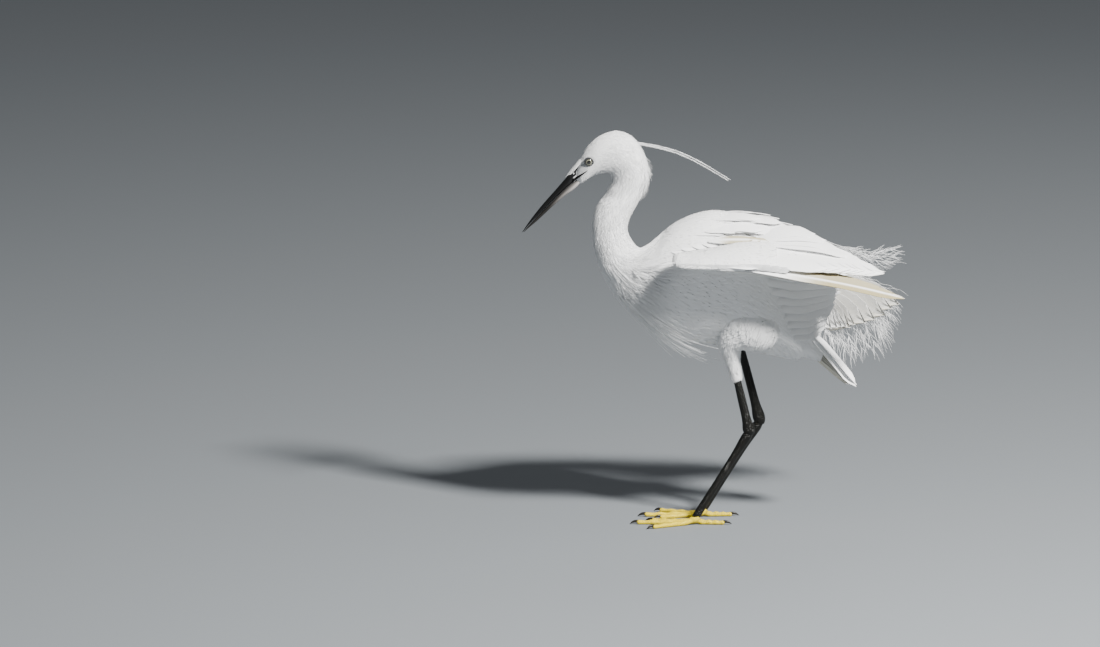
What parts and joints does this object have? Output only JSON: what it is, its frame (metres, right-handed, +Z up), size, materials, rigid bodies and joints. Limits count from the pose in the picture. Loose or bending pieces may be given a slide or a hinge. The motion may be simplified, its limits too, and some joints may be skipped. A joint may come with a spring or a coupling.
{
  "type": "little egret",
  "caption": "Life-size still model of a little egret in breeding plumage, standing with its head low, one wing half lifted and long loose plumes on its nape, breast and back.",
  "frame": {"origin": "on the floor, under the middle of the bird's bounding box", "axes": "+Z up; the bird looks along -X; its left side, the near one in the picture, is -Y"},
  "size_m": [0.3828, 0.2038, 0.3949],
  "materials": {
    "white_plumage": "soft white feathers, matt with a silky sheen",
    "black_horn": "smooth black horn with a dull gloss",
    "grey_horn": "smooth black horn, greyer towards its base",
    "eye": "wet gloss, pale yellow iris with a black pupil",
    "black_scales": "black scaly skin with a low gloss",
    "yellow_scales": "bright yellow scaly skin",
    "claw_horn": "black horn"
  },
  "bodies": {
    "root": {"head": "white_plumage", "neck_upper": "white_plumage", "neck_lower": "white_plumage", "torso": "white_plumage", "mantle": "white_plumage", "tail": "white_plumage", "left_wing": "white_plumage", "right_wing": "white_plumage", "left_thigh": "white_plumage", "right_thigh": "white_plumage", "upper_bill": "black_horn", "lower_bill": "grey_horn", "left_eye": "eye", "right_eye": "eye", "left_tibia": "black_scales", "right_tibia": "black_scales", "left_tarsus": "black_scales", "right_tarsus": "black_scales", "left_foot": "yellow_scales", "right_foot": "yellow_scales", "left_inner_claw": "claw_horn", "left_middle_claw": "claw_horn", "left_outer_claw": "claw_horn", "left_hind_claw": "claw_horn", "right_inner_claw": "claw_horn", "right_middle_claw": "claw_horn", "right_outer_claw": "claw_horn", "right_hind_claw": "claw_horn"}
  },
  "joints": []
}
